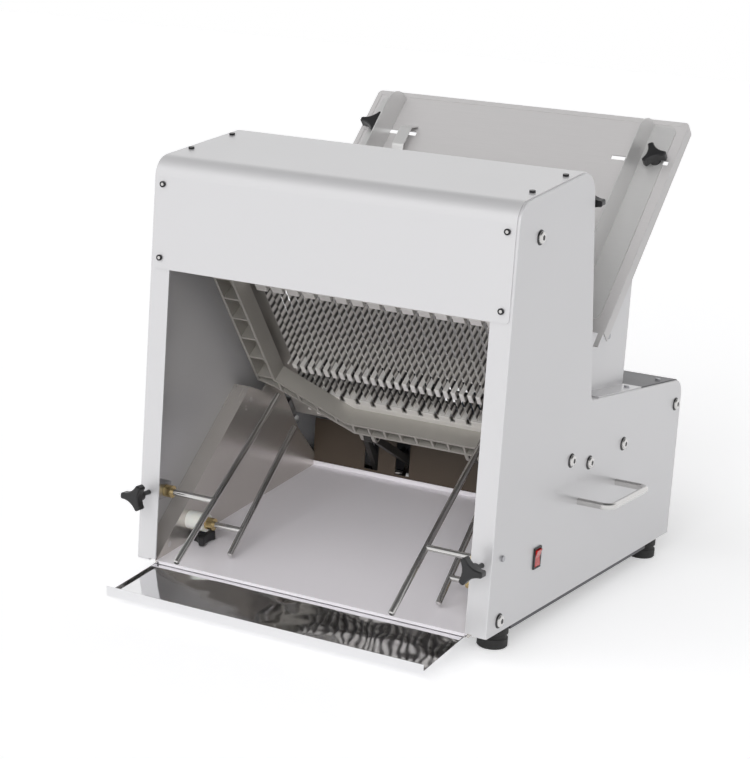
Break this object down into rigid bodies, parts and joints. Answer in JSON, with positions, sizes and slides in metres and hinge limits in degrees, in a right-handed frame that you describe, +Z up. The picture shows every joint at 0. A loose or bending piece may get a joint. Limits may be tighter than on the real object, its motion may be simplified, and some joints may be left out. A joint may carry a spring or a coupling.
{
  "type": "bread slicer",
  "caption": "Counter-top bread slicer: inclined infeed tray, two counter-moving frames of upright blades behind a hood, outfeed slide with adjustable loaf guides and a crumb drawer",
  "frame": {"origin": "centre of the bounding box in X and Y, on the plane that the feet stand on", "axes": "X to the right of someone at the outfeed, Y from the outfeed to the infeed, Z up"},
  "size_m": [0.599, 0.7164, 0.6191],
  "materials": {
    "casing_paint": "satin paint",
    "dark_paint": "dark satin paint",
    "polished_sheet": "bright annealed sheet",
    "slide_sheet": "smooth sheet",
    "mirror_sheet": "mirror polish",
    "casting": "fine cast",
    "finger_steel": "machined",
    "blade_steel": "ground",
    "bright_steel": "polished",
    "plain_steel": "machined",
    "bronze": "turned",
    "brass_collar": "turned",
    "pulley_iron": "turned",
    "belt_rubber": "plain",
    "motor_paint": "gloss paint",
    "foot_rubber": "moulded",
    "black_plastic": "fine grain",
    "black_screw": "black oxide",
    "white_nylon": "moulded",
    "red_plastic": "moulded"
  },
  "bodies": {
    "casing": {"left_side_panel": "casing_paint", "right_side_panel": "casing_paint", "front_hood": "casing_paint", "tray_support": "casing_paint", "rear_cover": "dark_paint", "base_pan": "dark_paint", "mechanism_guard": "dark_paint", "cheek_plates": "polished_sheet", "infeed_tray": "polished_sheet", "guide_strip": "polished_sheet", "comb_plate": "polished_sheet", "outfeed_slide": "slide_sheet", "guide_shafts": "bright_steel", "side_bolts": "bright_steel", "lift_handles": "bright_steel", "bearing_blocks": "plain_steel", "tie_rods_and_spacers": "plain_steel", "cover_screws": "plain_steel", "clamp_blocks": "plain_steel", "drive_belt": "belt_rubber", "motor": "motor_paint", "rubber_feet": "foot_rubber", "switch_bezel": "black_plastic", "cable_gland": "black_plastic", "hood_screws": "black_screw", "nylon_bushes": "white_nylon"},
    "front_frame": {"front_blade_frame": "casting", "front_finger_bars": "finger_steel", "front_blades": "blade_steel", "front_bushes": "bronze"},
    "rear_frame": {"rear_blade_frame": "casting", "rear_finger_bars": "finger_steel", "rear_blades": "blade_steel", "rear_bushes": "bronze"},
    "front_rods": {"front_connecting_rods": "plain_steel"},
    "rear_rods": {"rear_connecting_rods": "plain_steel"},
    "crank": {"crankshaft": "bright_steel", "driven_pulley": "pulley_iron"},
    "motor_rotor": {"motor_pulley": "pulley_iron"},
    "drawer": {"crumb_drawer": "mirror_sheet"},
    "left_tray_guide": {"left_infeed_guide": "polished_sheet"},
    "right_tray_guide": {"right_infeed_guide": "polished_sheet"},
    "left_tray_knob": {"left_guide_knob": "black_plastic"},
    "right_tray_knob": {"right_guide_knob": "black_plastic"},
    "tray_strip_knob": {"strip_knob": "black_plastic"},
    "switch": {"switch_rocker": "red_plastic"},
    "upper_left_swivel": {"upper_left_collar": "brass_collar"},
    "upper_left_loaf_rod": {"upper_left_rod": "bright_steel"},
    "upper_right_swivel": {"upper_right_collar": "brass_collar"},
    "upper_right_loaf_rod": {"upper_right_rod": "bright_steel"},
    "lower_left_swivel": {"lower_left_collar": "brass_collar"},
    "lower_left_loaf_rod": {"lower_left_rod": "bright_steel"},
    "lower_right_swivel": {"lower_right_collar": "brass_collar"},
    "lower_right_loaf_rod": {"lower_right_rod": "bright_steel"},
    "left_pillar_clamp": {"left_pillar_knob": "black_plastic"},
    "right_pillar_clamp": {"right_pillar_knob": "black_plastic"},
    "left_cheek_clamp": {"left_cheek_knob": "black_plastic"},
    "right_cheek_clamp": {"right_cheek_knob": "black_plastic"},
    "left_hood_clamp": {"left_hood_knob": "black_plastic"},
    "right_hood_clamp": {"right_hood_knob": "black_plastic"}
  },
  "joints": [
    {"name": "front_frame_slide", "type": "slide", "parent": "casing", "child": "front_frame", "axis": [0, -0.6293, 0.7771], "range_m": [-0.015, 0.015]},
    {"name": "rear_frame_slide", "type": "slide", "parent": "casing", "child": "rear_frame", "axis": [0, -0.6293, 0.7771], "range_m": [-0.015, 0.015]},
    {"name": "front_rod_swing", "type": "hinge", "parent": "front_frame", "child": "front_rods", "pos_m": [0, 0.04535, 0.16862], "axis": [1, 0, 0], "range_deg": [-3, 3]},
    {"name": "rear_rod_swing", "type": "hinge", "parent": "rear_frame", "child": "rear_rods", "pos_m": [0, 0.10938, 0.169], "axis": [1, 0, 0], "range_deg": [-3, 3]},
    {"name": "crank_turn", "type": "hinge", "parent": "casing", "child": "crank", "pos_m": [0, 0.18973, 0.082], "axis": [1, 0, 0], "continuous": true},
    {"name": "motor_turn", "type": "hinge", "parent": "casing", "child": "motor_rotor", "pos_m": [0, 0.26973, 0.142], "axis": [1, 0, 0], "continuous": true},
    {"name": "drawer_slide", "type": "slide", "parent": "casing", "child": "drawer", "axis": [0, -0.9914, -0.1305], "range_m": [-0.098, 0.13]},
    {"name": "left_tray_guide_slide", "type": "slide", "parent": "casing", "child": "left_tray_guide", "axis": [1, 0, 0], "range_m": [-0.006, 0.02]},
    {"name": "left_tray_knob_turn", "type": "hinge", "parent": "left_tray_guide", "child": "left_tray_knob", "pos_m": [-0.215, 0.25275, 0.56251], "axis": [0, -0.7268, 0.6868], "continuous": true},
    {"name": "right_tray_guide_slide", "type": "slide", "parent": "casing", "child": "right_tray_guide", "axis": [-1, 0, 0], "range_m": [-0.006, 0.04]},
    {"name": "right_tray_knob_turn", "type": "hinge", "parent": "right_tray_guide", "child": "right_tray_knob", "pos_m": [0.215, 0.25275, 0.56251], "axis": [0, -0.7268, 0.6868], "continuous": true},
    {"name": "strip_knob_turn", "type": "hinge", "parent": "casing", "child": "tray_strip_knob", "pos_m": [-0.105, 0.20261, 0.50946], "axis": [0, -0.7268, 0.6868], "continuous": true},
    {"name": "upper_left_swivel_turn", "type": "hinge", "parent": "casing", "child": "upper_left_swivel", "pos_m": [0, -0.23027, 0.12], "axis": [1, 0, 0], "range_deg": [-10, 20]},
    {"name": "upper_left_rod_slide", "type": "slide", "parent": "upper_left_swivel", "child": "upper_left_loaf_rod", "axis": [1, 0, 0], "range_m": [-0.006, 0.012]},
    {"name": "lower_left_swivel_turn", "type": "hinge", "parent": "casing", "child": "lower_left_swivel", "pos_m": [0, -0.17427, 0.07], "axis": [1, 0, 0], "range_deg": [-15, 0]},
    {"name": "lower_left_rod_slide", "type": "slide", "parent": "lower_left_swivel", "child": "lower_left_loaf_rod", "axis": [1, 0, 0], "range_m": [-0.003, 0.024]},
    {"name": "upper_right_swivel_turn", "type": "hinge", "parent": "casing", "child": "upper_right_swivel", "pos_m": [0, -0.23027, 0.12], "axis": [1, 0, 0], "range_deg": [-10, 20]},
    {"name": "upper_right_rod_slide", "type": "slide", "parent": "upper_right_swivel", "child": "upper_right_loaf_rod", "axis": [-1, 0, 0], "range_m": [-0.006, 0.012]},
    {"name": "lower_right_swivel_turn", "type": "hinge", "parent": "casing", "child": "lower_right_swivel", "pos_m": [0, -0.17427, 0.07], "axis": [1, 0, 0], "range_deg": [-15, 0]},
    {"name": "lower_right_rod_slide", "type": "slide", "parent": "lower_right_swivel", "child": "lower_right_loaf_rod", "axis": [-1, 0, 0], "range_m": [-0.003, 0.024]},
    {"name": "left_pillar_clamp_turn", "type": "hinge", "parent": "casing", "child": "left_pillar_clamp", "pos_m": [-0.237, -0.25227, 0.12], "axis": [0, -1, 0], "continuous": true},
    {"name": "left_cheek_clamp_turn", "type": "hinge", "parent": "casing", "child": "left_cheek_clamp", "pos_m": [-0.204, -0.17048, 0.04124], "axis": [0, -0.1305, 0.9914], "continuous": true},
    {"name": "left_hood_clamp_turn", "type": "hinge", "parent": "casing", "child": "left_hood_clamp", "pos_m": [-0.237, -0.03388, 0.53], "axis": [0, 0.9836, 0.1805], "continuous": true},
    {"name": "right_pillar_clamp_turn", "type": "hinge", "parent": "casing", "child": "right_pillar_clamp", "pos_m": [0.237, -0.25227, 0.12], "axis": [0, -1, 0], "continuous": true},
    {"name": "right_cheek_clamp_turn", "type": "hinge", "parent": "casing", "child": "right_cheek_clamp", "pos_m": [0.204, -0.17048, 0.04124], "axis": [0, -0.1305, 0.9914], "continuous": true},
    {"name": "right_hood_clamp_turn", "type": "hinge", "parent": "casing", "child": "right_hood_clamp", "pos_m": [0.237, -0.03388, 0.53], "axis": [0, 0.9836, 0.1805], "continuous": true},
    {"name": "switch_press", "type": "hinge", "parent": "casing", "child": "switch", "pos_m": [0.247, -0.12177, 0.1023], "axis": [0, 1, 0], "range_deg": [-10, 0]}
  ],
  "couplings": [
    {"joint": "rear_frame_slide", "follows": "front_frame_slide", "ratio": -1},
    {"joint": "motor_turn", "follows": "crank_turn", "ratio": 2.1613}
  ]
}
